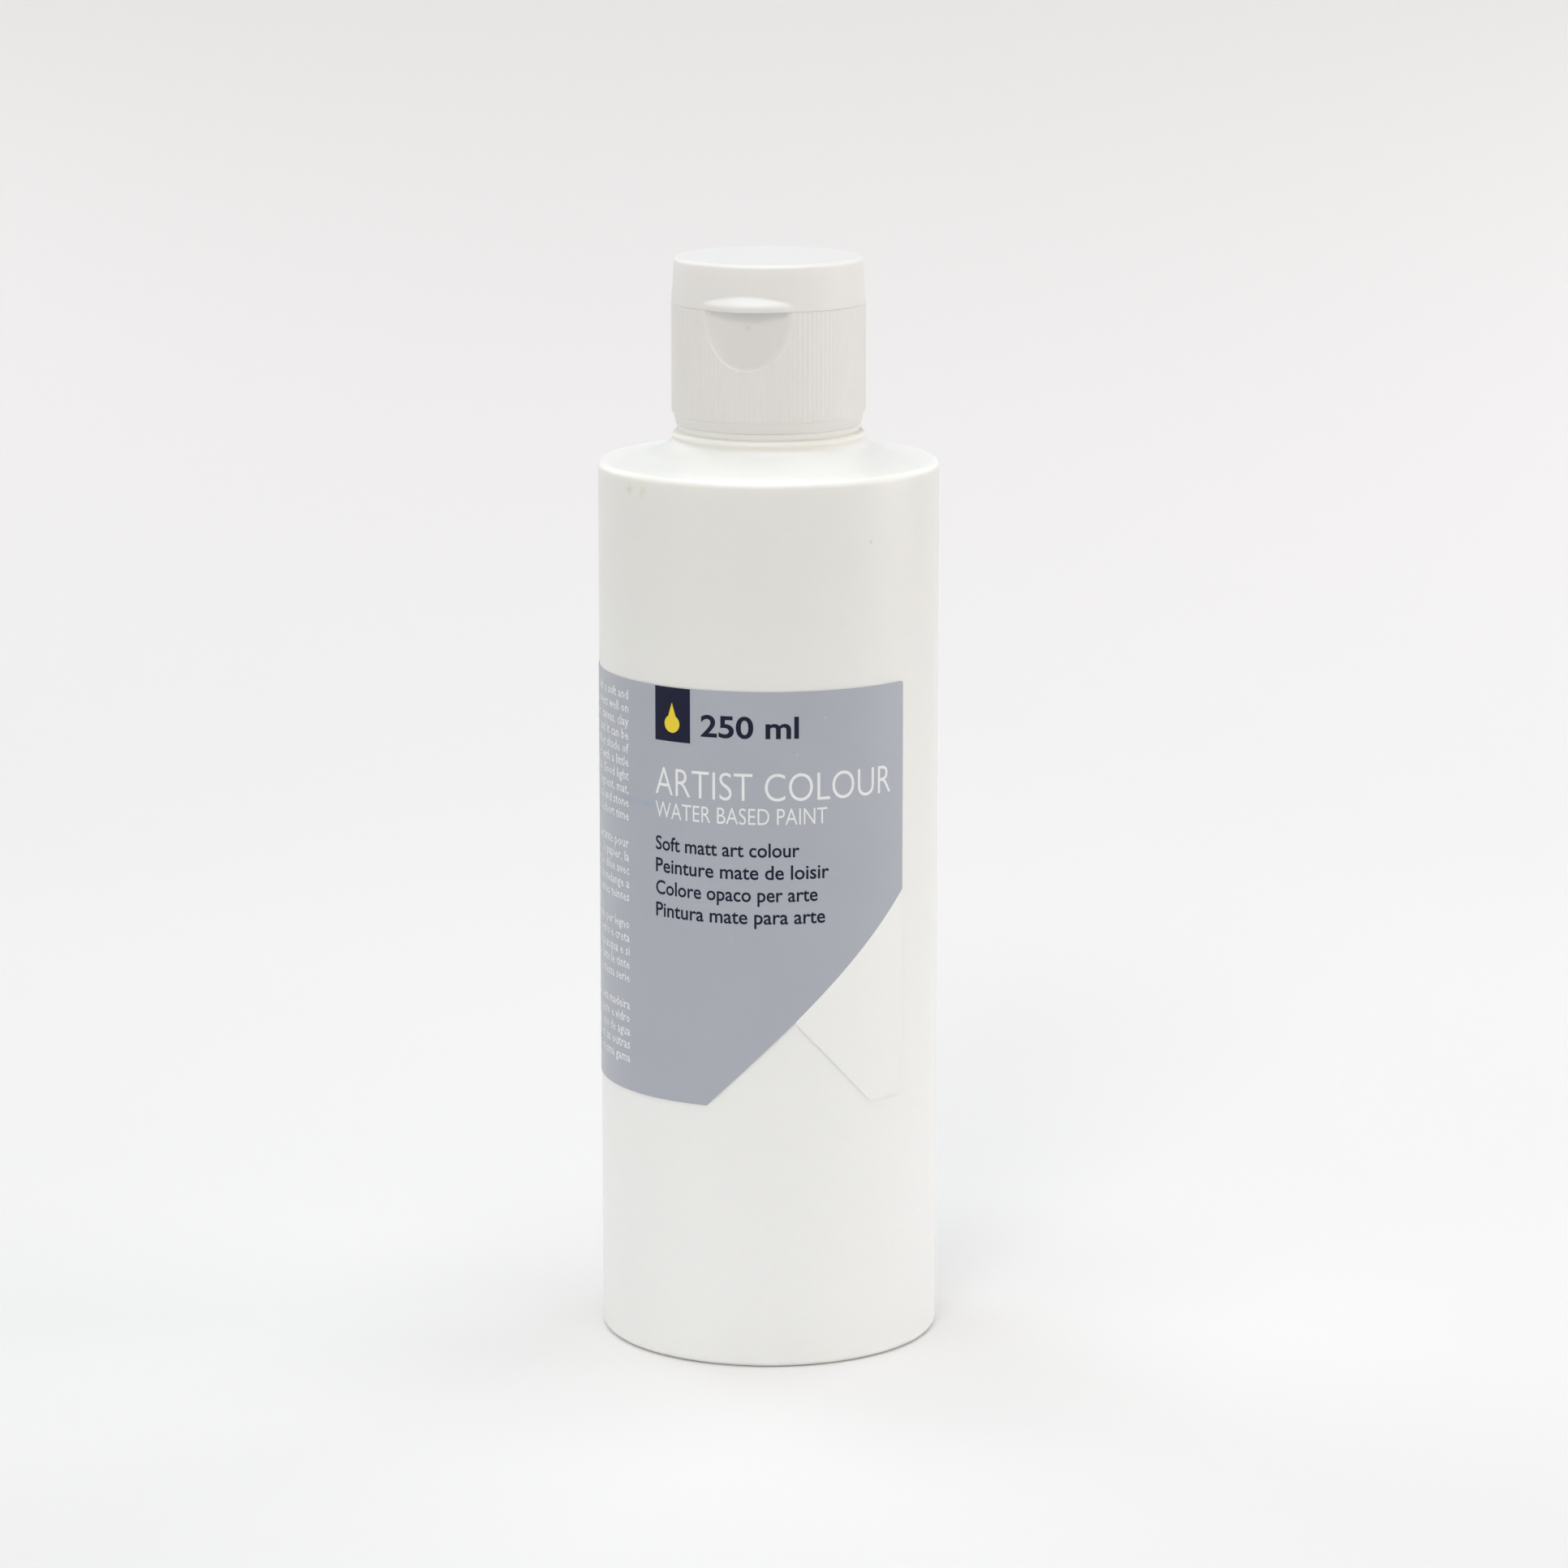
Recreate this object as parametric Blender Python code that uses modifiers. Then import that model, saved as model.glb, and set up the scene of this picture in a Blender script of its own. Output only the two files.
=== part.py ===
"""Squeeze bottle of acrylic paint with a flip-top screw cap, built from separate named parts.

Metres, +Z up. The bottle stands on z = 0 with its axis on Z. The thumb tab faces -Y and the lid's
living hinge is at +Y. Azimuths are counted from -Y towards +X.
"""
import math

import bmesh
import bpy
from mathutils import Vector

# Bottle
BODY_R = 0.0260
WALL = 0.0010
RIM_Z = 0.1365
RIM_FILLET = 0.0011
BASE_FILLET = 0.0017
STAND_R = 0.0225
PUSH_UP = 0.0023
SHOULDER_FLAT_R = 0.0220
NECK_ROOT_R = 0.0143
NECK_ROOT_Z = 0.1395
BEAD_R = 0.01475
BEAD_TOP_Z = 0.1409
BEAD_ROUND = 0.0007
FLANGE_R = 0.0134
FLANGE_WAIST_R = 0.01355
FLANGE_TOP_Z = 0.1418
NECK_R = 0.0108
NECK_FLARE_R = 0.0113
BORE_R = 0.0092
BORE_LOW_Z = 0.1420
BORE_FLARE = ((0.0120, 0.1396), (0.0102, 0.1406))
LIP_Z = 0.1570
INNER_FILLET = 0.0008

# Screw thread, shared by the neck and the cap
THREAD_PITCH = 0.003175
THREAD_TURNS = 1.5
THREAD_TOP_Z = 0.1544
NECK_RIDGE_AT = 0.0110
NECK_RIDGE_R = 0.00085
CAP_RIDGE_AT = 0.0122
CAP_RIDGE_R = 0.00080

# Paint and sealing ring
GAP = 0.0003
PAINT_LEVEL_Z = 0.1306
SEAL_IN_R = 0.0080
SEAL_OUT_R = 0.0113
SEAL_THICK = 0.0013

# Cap
CAP_BOTTOM_Z = 0.1421
CAP_R = 0.0148
CAP_BORE_R = 0.01235
RIB_END_Z = 0.1439
COLLAR_R = 0.0141
COLLAR_TOP_R = 0.01435
COLLAR_FOOT_R = 0.0138
COLLAR_ROUND = 0.0003
STEP_DROP = 0.0004
PARTING_Z = 0.16045
DECK_THICK = 0.0014
SPOUT_HOLE_R = 0.00175
SPOUT_BASE_R = 0.0034
SPOUT_TIP_R = 0.0025
SPOUT_NECK_R = 0.0029
SPOUT_TIP_Z = 0.1633
SNAP_RING_R = 0.0130
SNAP_RING_RISE = 0.0010
SNAP_RING_THICK = 0.0009

# Thumb scoop: a U-shaped recess with a floor that leans a little
SCOOP_HALF_W = 0.0066
SCOOP_DEPTH_Z = 0.0088
SCOOP_STRAIGHT = 0.0012
SCOOP_TOP_Y = -0.0131
SCOOP_LEAN = math.radians(5.0)

# Flip lid
LID_TOP_Z = 0.1674
LID_R_LOW = 0.01477
LID_R_TOP = 0.01430
LID_BEND_R = 0.0146
LID_BEND_Z = 0.1637
LID_STRAIGHT = 0.0006
LID_EDGE = 0.0003
LID_WALL = 0.00137
LID_ROOF = 0.0015
PIN_R = 0.0014
PIN_TIP_R = 0.0009
PIN_END_Z = 0.1609
TAB_HALF_W = 0.0068
TAB_REACH = 0.0161
TAB_RISE = 0.0020
TAB_SAGITTA = 0.0030
TAB_SLOPE = 0.0010
TAB_EDGE_TOP = 0.0009
TAB_EDGE_LOW = 0.0005
TAB_ROUND = 0.0003

# Living hinge at the back of the cap
HINGE_Y = 0.0149
FILM_HALF_W = 0.0036
FILM_GAP = 0.00015
FILM_THICK = 0.00035
FILM_HALF_H = 0.0009
STRAP_AZ = math.radians(25.0)
STRAP_HALF_W = 0.0011
STRAP_HALF_H = 0.0021
STRAP_THICK = 0.0005

# Label film
LABEL_GAP = 0.00008
LABEL_THICK = 0.00010
LABEL_LOW_Z = 0.0410
LABEL_TOP_Z = 0.1050
LABEL_RIGHT_AZ = math.radians(64.3)
LABEL_WIDTH = 0.1380
NOTCH_LEFT_AZ = math.radians(-7.7)
NOTCH_APEX_AZ = math.radians(22.1)
NOTCH_RIGHT_AZ = math.radians(49.2)
NOTCH_APEX_Z = 0.0536

STEPS = 48
THREAD_STEPS = 24


def clear_scene():
    for ob in list(bpy.data.objects):
        bpy.data.objects.remove(ob, do_unlink=True)


def make_collection(name, hidden):
    coll = bpy.data.collections.new(name)
    bpy.context.scene.collection.children.link(coll)
    coll.hide_render = hidden
    return coll


def finish(ob, coll, colour=None, roughness=0.45):
    """Link an object and give it a material, or show it as a cutter when it has no colour."""
    coll.objects.link(ob)
    if colour is None:
        ob.hide_render = True
        ob.display_type = "WIRE"
        return ob
    mat = bpy.data.materials.new(ob.name)
    mat.use_nodes = True
    shader = mat.node_tree.nodes["Principled BSDF"]
    shader.inputs["Base Color"].default_value = (*colour, 1.0)
    shader.inputs["Roughness"].default_value = roughness
    shader.inputs["Metallic"].default_value = 0.0
    ob.data.materials.append(mat)
    return ob


def arc(centre_r, centre_z, radius, start, end, count=4):
    """Points of an arc in the profile plane, with angles in degrees counted from +X towards +Z."""
    points = []
    for i in range(count):
        angle = math.radians(start + (end - start) * i / (count - 1))
        points.append((centre_r + radius * math.cos(angle), centre_z + radius * math.sin(angle)))
    return points


def turned(name, profile, closed=False):
    """A profile of (radius, height) points turned about Z. It runs down its outer side."""
    edges = [(i, i + 1) for i in range(len(profile) - 1)]
    if closed:
        edges.append((len(profile) - 1, 0))
    mesh = bpy.data.meshes.new(name)
    mesh.from_pydata([(r, 0.0, z) for r, z in profile], edges, [])
    ob = bpy.data.objects.new(name, mesh)
    screw = ob.modifiers.new("turn", "SCREW")
    screw.axis = "Z"
    screw.angle = 2 * math.pi
    screw.steps = STEPS
    screw.render_steps = STEPS
    screw.use_merge_vertices = True
    screw.merge_threshold = 0.00001
    screw.use_smooth_shade = True
    return ob


def flat_outline(name, points, half_thick):
    """A flat closed outline in the object's own XY plane, thickened both ways along its Z."""
    curve = bpy.data.curves.new(name, "CURVE")
    curve.dimensions = "2D"
    curve.fill_mode = "BOTH"
    curve.extrude = half_thick
    spline = curve.splines.new("POLY")
    spline.points.add(len(points) - 1)
    for point, (x, y) in zip(spline.points, points):
        point.co = (x, y, 0.0, 1.0)
    spline.use_cyclic_u = True
    return bpy.data.objects.new(name, curve)


def as_mesh(ob):
    """Replace a curve object by a mesh object of the same solid, with its caps welded."""
    bpy.context.scene.collection.objects.link(ob)
    depsgraph = bpy.context.evaluated_depsgraph_get()
    mesh = bpy.data.meshes.new_from_object(ob.evaluated_get(depsgraph))
    bm = bmesh.new()
    bm.from_mesh(mesh)
    bmesh.ops.remove_doubles(bm, verts=bm.verts, dist=0.000001)
    bm.to_mesh(mesh)
    bm.free()
    solid = bpy.data.objects.new(ob.name + "_solid", mesh)
    solid.matrix_world = ob.matrix_world
    bpy.data.objects.remove(ob, do_unlink=True)
    return solid


def boolean(ob, other, operation):
    mod = ob.modifiers.new(operation.lower() + "_" + other.name, "BOOLEAN")
    mod.operation = operation
    mod.solver = "EXACT"
    mod.object = other


def outward(azimuth, radius, z=0.0):
    """The point at an azimuth from -Y towards +X, at a radius from the bottle's axis."""
    return Vector((radius * math.sin(azimuth), -radius * math.cos(azimuth), z))


def face_outward(ob, azimuth, location):
    """Stand an outline up so that its X runs round the bottle, its Y up and its Z outward."""
    ob.rotation_euler = (math.pi / 2, 0.0, azimuth)
    ob.location = location


def push_up(clearance):
    """The domed base from the standing ring to the centre, raised by a clearance."""
    shares = (1.0, 0.95, 0.85, 0.7, 0.5, 0.25, 0.0)
    return [(STAND_R * s, clearance + PUSH_UP * (1 - s**4)) for s in shares]


def shoulder(clearance):
    """The shoulder's rise from its flat outer ring to the neck, lowered by a clearance."""
    points = []
    for i in range(7):
        share = i / 6
        radius = SHOULDER_FLAT_R + (NECK_ROOT_R - SHOULDER_FLAT_R) * share
        points.append((radius, RIM_Z - clearance + (NECK_ROOT_Z - RIM_Z) * share**1.5))
    return points


def thread_ridge(name, at_radius, ridge_radius, top_z):
    """A right-handed helical ridge whose ends run out to a thinner section."""
    count = int(THREAD_STEPS * THREAD_TURNS)
    run_out = 6
    curve = bpy.data.curves.new(name, "CURVE")
    curve.dimensions = "3D"
    curve.twist_mode = "Z_UP"
    curve.bevel_depth = ridge_radius
    curve.bevel_resolution = 2
    curve.use_fill_caps = True
    spline = curve.splines.new("POLY")
    spline.points.add(count)
    low_z = top_z - THREAD_PITCH * THREAD_TURNS
    for i, point in enumerate(spline.points):
        turn = i / THREAD_STEPS
        spot = outward(2 * math.pi * turn, at_radius, low_z + THREAD_PITCH * turn)
        point.co = (*spot, 1.0)
        point.radius = min(1.0, 0.5 + 0.5 * min(i, count - i) / run_out)
    return as_mesh(bpy.data.objects.new(name, curve))


def make_bottle(parts, cutters):
    outer_wall = BODY_R - RIM_FILLET
    base_r = BODY_R - BASE_FILLET
    inner = BODY_R - WALL
    profile = push_up(WALL)[::-1]
    profile += arc(inner - INNER_FILLET, WALL + INNER_FILLET, INNER_FILLET, -90, 0)
    profile += arc(inner - INNER_FILLET, RIM_Z - WALL - INNER_FILLET, INNER_FILLET, 0, 90)
    profile += shoulder(WALL)
    profile += [*BORE_FLARE, (BORE_R, BORE_LOW_Z)]
    profile += [(BORE_R, LIP_Z - GAP), (BORE_R + GAP, LIP_Z), (NECK_R - GAP, LIP_Z)]
    profile += [(NECK_R, LIP_Z - GAP), (NECK_R, FLANGE_TOP_Z + NECK_FLARE_R - NECK_R)]
    profile += [(NECK_FLARE_R, FLANGE_TOP_Z), (FLANGE_R, FLANGE_TOP_Z)]
    profile += [(FLANGE_WAIST_R, (FLANGE_TOP_Z + BEAD_TOP_Z) / 2)]
    profile += arc(BEAD_R - BEAD_ROUND, BEAD_TOP_Z - BEAD_ROUND, BEAD_ROUND, 90, -60, 7)
    profile += shoulder(0.0)[::-1]
    profile += arc(outer_wall, RIM_Z - RIM_FILLET, RIM_FILLET, 90, 0)
    profile += arc(base_r, BASE_FILLET, BASE_FILLET, 0, -90)
    profile += push_up(0.0)
    bottle = finish(turned("bottle", profile), parts, (0.86, 0.86, 0.83), 0.45)
    ridge = thread_ridge("neck_thread", NECK_RIDGE_AT, NECK_RIDGE_R, THREAD_TOP_Z)
    boolean(bottle, finish(ridge, cutters), "UNION")


def make_paint(parts):
    radius = BODY_R - WALL - GAP
    fillet = 0.0010
    profile = [(0.0, PAINT_LEVEL_Z), (radius, PAINT_LEVEL_Z)]
    profile += arc(radius - fillet, WALL + GAP + fillet, fillet, 0, -90)
    profile += push_up(WALL + GAP)
    finish(turned("paint_fill", profile), parts, (0.90, 0.90, 0.88), 0.20)


def make_seal(parts):
    low = LIP_Z + GAP
    high = low + SEAL_THICK
    profile = [(SEAL_IN_R, high), (SEAL_OUT_R, high), (SEAL_OUT_R, low), (SEAL_IN_R, low)]
    finish(turned("neck_seal", profile, closed=True), parts, (0.80, 0.80, 0.78), 0.70)


def make_closure_base(parts, cutters, parent):
    deck_top = PARTING_Z - GAP / 2
    deck_low = deck_top - DECK_THICK
    ring_top = deck_top + SNAP_RING_RISE
    edge = 0.0002
    spout = [(SPOUT_HOLE_R, SPOUT_TIP_Z), (SPOUT_TIP_R, SPOUT_TIP_Z)]
    spout += [(SPOUT_NECK_R, SPOUT_TIP_Z - 2 * edge), (SPOUT_BASE_R, deck_top)]
    ring_in = SNAP_RING_R - SNAP_RING_THICK
    ring = [(ring_in, deck_top), (ring_in + edge / 2, ring_top)]
    ring += [(SNAP_RING_R - edge, ring_top), (SNAP_RING_R, ring_top - edge), (SNAP_RING_R, deck_top)]
    skirt = [(CAP_R - edge, deck_top), (CAP_R, deck_top - edge), (CAP_R, RIB_END_Z)]
    skirt += [(COLLAR_TOP_R, RIB_END_Z - STEP_DROP), (COLLAR_R, CAP_BOTTOM_Z + COLLAR_ROUND)]
    skirt += [(COLLAR_FOOT_R, CAP_BOTTOM_Z)]
    bore = [(CAP_BORE_R, CAP_BOTTOM_Z), (CAP_BORE_R, deck_low), (SPOUT_HOLE_R, deck_low)]
    base = turned("closure_base", spout + ring + skirt + bore, closed=True)
    finish(base, parts, (0.84, 0.83, 0.81), 0.50)
    base.parent = parent

    top = THREAD_TOP_Z - THREAD_PITCH / 2
    ridge = thread_ridge("cap_thread", CAP_RIDGE_AT, CAP_RIDGE_R, top)
    boolean(base, finish(ridge, cutters), "UNION")

    half = 0.0020
    outline = [(-SCOOP_HALF_W, half), (SCOOP_HALF_W, half)]
    for i in range(17):
        angle = math.pi * i / 16
        drop = (SCOOP_DEPTH_Z - SCOOP_STRAIGHT) * math.sin(angle)
        outline.append((SCOOP_HALF_W * math.cos(angle), -SCOOP_STRAIGHT - drop))
    scoop = flat_outline("thumb_scoop", outline[::-1], half)
    face_outward(scoop, 0.0, (0.0, SCOOP_TOP_Y - half, deck_top))
    scoop.rotation_euler.x -= SCOOP_LEAN
    boolean(base, finish(as_mesh(scoop), cutters), "DIFFERENCE")


def make_lid(parts, cutters, parent):
    low = PARTING_Z + GAP / 2
    inside = LID_R_LOW - LID_WALL
    roof = LID_TOP_Z - LID_ROOF
    edge = LID_EDGE
    shell = [(0.0, LID_TOP_Z), (LID_R_TOP - 2 * edge, LID_TOP_Z), (LID_R_TOP, LID_TOP_Z - edge)]
    shell += [(LID_BEND_R, LID_BEND_Z), (LID_R_LOW, low + LID_STRAIGHT), (LID_R_LOW, low), (0.0, low)]
    lid = finish(turned("flip_lid", shell), parts, (0.86, 0.85, 0.83), 0.50)
    lid.parent = parent
    lid.location = -parent.location

    tab_r = (TAB_HALF_W**2 + TAB_SAGITTA**2) / (2 * TAB_SAGITTA)
    crest = tab_r - TAB_ROUND - TAB_SLOPE
    rim = [(0.0, low + TAB_RISE), (crest, low + TAB_RISE), (tab_r - TAB_ROUND, low + TAB_EDGE_TOP)]
    rim += [(tab_r, low + TAB_EDGE_LOW), (tab_r, low + TAB_ROUND), (tab_r - TAB_ROUND, low), (0.0, low)]
    tab = finish(turned("thumb_tab", rim), cutters)
    tab.location.y = tab_r - TAB_REACH
    boolean(lid, tab, "UNION")

    pin = [(0.0, PIN_END_Z), (PIN_TIP_R, PIN_END_Z), (PIN_R, PIN_END_Z + edge), (PIN_R, roof - edge)]
    hollow = pin + [(PIN_R + edge, roof), (inside - edge, roof), (inside, low - GAP), (0.0, low - GAP)]
    boolean(lid, finish(turned("lid_hollow", hollow), cutters), "DIFFERENCE")


def make_hinge(parts, parent):
    inner = CAP_R + FILM_GAP
    outer = inner + FILM_THICK
    fold = inner + FILM_THICK / 3
    low = PARTING_Z - FILM_HALF_H
    high = PARTING_Z + FILM_HALF_H
    web = FILM_HALF_H / 3
    outline = [(inner, low), (outer, low), (outer, PARTING_Z - web), (fold, PARTING_Z)]
    outline += [(outer, PARTING_Z + web), (outer, high), (inner, high)]
    film = flat_outline("hinge_film", outline, FILM_HALF_W)
    film.rotation_euler = (math.pi / 2, 0.0, math.pi / 2)
    finish(film, parts, (0.84, 0.83, 0.81), 0.50)
    film.parent = parent

    corners = [(-STRAP_HALF_W, -STRAP_HALF_H), (STRAP_HALF_W, -STRAP_HALF_H)]
    corners += [(STRAP_HALF_W, STRAP_HALF_H), (-STRAP_HALF_W, STRAP_HALF_H)]
    for name, turn in (("hinge_strap_left", STRAP_AZ), ("hinge_strap_right", -STRAP_AZ)):
        strap = flat_outline(name, corners, STRAP_THICK / 2)
        azimuth = math.pi + turn
        face_outward(strap, azimuth, outward(azimuth, inner + STRAP_THICK / 2, PARTING_Z))
        finish(strap, parts, (0.84, 0.83, 0.81), 0.50)
        strap.parent = parent


def make_label(parts, cutters):
    inner = BODY_R + LABEL_GAP
    outer = inner + LABEL_THICK
    band = [(inner, LABEL_TOP_Z), (outer, LABEL_TOP_Z), (outer, LABEL_LOW_Z), (inner, LABEL_LOW_Z)]
    label = finish(turned("label", band, closed=True), parts, (0.36, 0.38, 0.42), 0.35)

    bare = 2 * math.pi - LABEL_WIDTH / outer
    far = 1.5 * BODY_R
    wedge = [(0.0, 0.0)]
    for i in range(3):
        spot = outward(LABEL_RIGHT_AZ + bare * i / 2, far)
        wedge.append((spot.x, spot.y))
    gap = flat_outline("label_gap", wedge, LABEL_TOP_Z)
    boolean(label, finish(as_mesh(gap), cutters), "DIFFERENCE")

    middle = (NOTCH_LEFT_AZ + NOTCH_RIGHT_AZ) / 2
    feet = [outer * math.sin(azimuth - middle) for azimuth in (NOTCH_LEFT_AZ, NOTCH_RIGHT_AZ)]
    apex = outer * math.sin(NOTCH_APEX_AZ - middle)
    below = 0.0005
    outline = [(feet[0] - below, LABEL_LOW_Z - below), (feet[1] + below, LABEL_LOW_Z - below)]
    outline += [(apex, NOTCH_APEX_Z)]
    notch = flat_outline("label_notch", outline, BODY_R / 2)
    face_outward(notch, middle, outward(middle, BODY_R))
    boolean(label, finish(as_mesh(notch), cutters), "DIFFERENCE")


def main():
    clear_scene()
    parts = make_collection("paint_bottle", False)
    cutters = make_collection("cutters", True)
    cap_axis = bpy.data.objects.new("cap_axis", None)
    parts.objects.link(cap_axis)
    lid_axis = bpy.data.objects.new("lid_axis", None)
    parts.objects.link(lid_axis)
    lid_axis.parent = cap_axis
    lid_axis.location = (0.0, HINGE_Y, PARTING_Z)
    make_bottle(parts, cutters)
    make_paint(parts)
    make_label(parts, cutters)
    make_seal(parts)
    make_closure_base(parts, cutters, cap_axis)
    make_hinge(parts, cap_axis)
    make_lid(parts, cutters, lid_axis)


main()
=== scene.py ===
"""The looks of a squeeze bottle of acrylic paint with a flip-top screw cap.

Lengths are in millimetres, and MM turns them into metres when a mesh is made. Azimuths are counted
in degrees from -Y, where the lid's thumb tab is, towards +X. Pieces of print lie on a flat sheet
first, with x along the label and y up, and are then wrapped round the bottle.
"""
import math

import bmesh
import bpy
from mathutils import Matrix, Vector


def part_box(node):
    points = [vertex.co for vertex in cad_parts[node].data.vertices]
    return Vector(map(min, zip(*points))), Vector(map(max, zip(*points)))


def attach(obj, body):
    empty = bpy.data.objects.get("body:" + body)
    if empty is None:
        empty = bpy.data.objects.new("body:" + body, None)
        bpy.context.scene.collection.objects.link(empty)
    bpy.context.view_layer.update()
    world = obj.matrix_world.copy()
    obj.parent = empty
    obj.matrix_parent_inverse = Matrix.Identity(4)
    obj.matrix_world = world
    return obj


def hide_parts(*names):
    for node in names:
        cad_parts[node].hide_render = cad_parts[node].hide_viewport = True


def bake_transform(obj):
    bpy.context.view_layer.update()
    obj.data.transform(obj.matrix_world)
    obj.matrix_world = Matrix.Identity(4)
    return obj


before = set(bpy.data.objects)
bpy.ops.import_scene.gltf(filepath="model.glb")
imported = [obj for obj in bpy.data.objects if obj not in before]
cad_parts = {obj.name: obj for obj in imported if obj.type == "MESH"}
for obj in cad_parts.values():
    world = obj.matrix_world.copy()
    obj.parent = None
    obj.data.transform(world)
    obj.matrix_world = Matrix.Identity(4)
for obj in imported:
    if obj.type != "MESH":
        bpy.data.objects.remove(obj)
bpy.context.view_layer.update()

MM = 0.001


def node_box(name):
    """The lowest and highest corner of a CAD node, in millimetres."""
    low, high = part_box(name)
    return Vector(low) / MM, Vector(high) / MM


BOTTLE_HIGH = node_box("bottle")[1]
CAP_HIGH = node_box("closure_base")[1]
LID_LOW, LID_HIGH = node_box("flip_lid")
LABEL_LOW, LABEL_HIGH = node_box("label")

# Bottle
BODY_R = BOTTLE_HIGH.x
LIP_Z = BOTTLE_HIGH.z
WALL = 1.0
RIM_Z = 136.5
RIM_FILLET = 1.1
BASE_FILLET = 1.25
STAND_R = 22.5
PUSH_UP = 2.3
SHOULDER_FLAT_R = 22.0
NECK_ROOT_R = 14.3
NECK_ROOT_Z = 139.5
BEAD_R = 14.75
BEAD_FOOT_Z = 139.0
BEAD_TOP_Z = 140.9
BEAD_ROUND = 0.70
NECK_R = 10.8
BORE_R = 9.2
# Radius and height of the foot of the neck's bore, its band and the crook under its bead
BORE_FOOT = [(12.0, 139.6), (10.2, 140.6), (BORE_R, 142.0)]
BAND_TOP = [(NECK_R, 142.6), (10.9, 142.2), (11.3, 142.05), (14.0, 142.05), (14.03, 142.0)]
BAND_SIDE = [(14.02, 141.88), (13.96, 141.60), (13.84, 141.30), (13.78, 141.12), (13.78, 141.0)]
BEAD_CROOK = [(14.74, 139.72), (14.83, 139.50), (15.00, 139.31), (15.25, 139.10)]

# Screw thread
THREAD_PITCH = 3.175
THREAD_TURNS = 1.5
THREAD_TOP_Z = 154.4
NECK_THREAD_R = 11.0
NECK_THREAD_RIDGE = 0.85
CAP_THREAD_R = 12.2
CAP_THREAD_RIDGE = 0.80

# Cap
CAP_R = CAP_HIGH.x
COLLAR_BOTTOM_Z = 142.06
COLLAR_FOOT_R = 14.06
SPOUT_TIP_Z = CAP_HIGH.z
DECK_Z = 160.3
DECK_THICK = 1.4
PARTING_Z = (LID_LOW.z + DECK_Z) / 2
PARTING_GAP = 0.02
CAP_BORE_R = 12.35
RIB_COUNT = 120
RIB_DEPTH = 0.075
RIB_END_Z = 143.9
SNAP_RING_R = 13.0
SPOUT_HOLE_R = 1.75
SPOUT_R = 2.85

# Thumb scoop
SCOOP_HALF_W = 6.5
SCOOP_DROP = 8.6
SCOOP_STRAIGHT = 1.2
SCOOP_TOP_R = 13.12
SCOOP_SIDE_R = 14.25
SCOOP_LEAN = 0.075
SCOOP_WALL = 0.75
SCOOP_BAND = 0.60
SCOOP_BAND_EDGE = 0.2
GATE_MARK_X = -0.05
GATE_MARK_DROP = 2.7
GATE_MARK_R = 0.42
GATE_MARK_HEIGHT = 0.11

# Lid
LID_TOP_Z = LID_HIGH.z
LID_R_LOW = LID_HIGH.x
LID_R_TOP = 14.30
LID_EDGE = 0.75
LID_WALL = 1.37
LID_ROOF = 1.5
PIN_R = 1.4
PIN_END_Z = 160.9
TAB_REACH = -LID_LOW.y
TAB_HALF_W = 6.8
TAB_TOP_Z = 162.65
TAB_DROP = 1.1
TAB_MIDDLE_Z = 161.9
# Heights over which the painted shade on the thumb tab fades out
TAB_SHADE_FADE = (162.3, 162.9)

# Living hinge
HINGE_CLEARANCE = 0.04
HINGE_GROOVE = 0.3
# Name, azimuth, half width, half height, thickness, share left at the fold, CAD node
HINGE_WEBS = (
    ("hinge_fold", 180.0, 3.6, 1.0, 0.34, 0.35, "hinge_film"),
    ("strap_web_left", 205.0, 1.1, 2.1, 0.45, 0.5, "hinge_strap_left"),
    ("strap_web_right", 155.0, 1.1, 2.1, 0.45, 0.5, "hinge_strap_right"),
)

# Label
LABEL_LOW_Z = LABEL_LOW.z
LABEL_TOP_Z = LABEL_HIGH.z
FILM_IN = 0.03
FILM_OUT = 0.10
INK = 0.115
LABEL_R = BODY_R + FILM_OUT
LABEL_RIGHT = 64.3
LABEL_WIDTH = 138.0
NOTCH_LEFT = -7.7
NOTCH_APEX = 22.1
NOTCH_RIGHT = 49.2
NOTCH_APEX_Z = 54.2

# Marks of use. Each end of a streak is an azimuth and a height.
CREASE = ((17.1, 78.4), (40.0, 76.6))
CREASE_WIDTH = 0.10
SMEAR = ((-52.0, 86.7), (-27.0, 86.5))
SMEAR_WIDTH = 0.55
STAINS = (((-40.4, RIM_Z - 2.4), 1.3), ((-32.9, RIM_Z - 2.5), 1.1))
DIRT_AZIMUTH = -69.0
SCUFF_AZIMUTH = 113.0

# Colours, each with its mottle where it has one
BOTTLE_WHITE = ((0.990, 0.983, 0.940), (0.978, 0.970, 0.926))
# Painted light and shade: the wall is lighter at its foot, where light comes up from the floor, and
# this darker white above
BODY_TOP_SHADE = (0.834, 0.826, 0.794)
# Painted shade on the shoulder, which faces the top light
SHOULDER_SHADE = (0.905, 0.900, 0.886)
# Painted shade on the front of the shoulder and its rim, which dims their highlight
SHOULDER_FRONT_SHADE = (0.848, 0.844, 0.826)
# Painted shade, tinted yellowish, on the bead and the neck above it, which dims the bead's
# highlight
BEAD_SHADE = (0.852, 0.838, 0.800)
# Painted light: a yellowish glow on the neck's band above the bead, where light bounces through the
# plastic
BAND_GLOW = (0.950, 0.932, 0.870)
CAP_WHITE = ((0.800, 0.782, 0.762), (0.788, 0.770, 0.748))
LID_WHITE = ((0.814, 0.797, 0.778), (0.804, 0.787, 0.766))
# Painted shade on the lid's top face, which faces the top light
LID_TOP_SHADE = (0.772, 0.764, 0.770)
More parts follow.
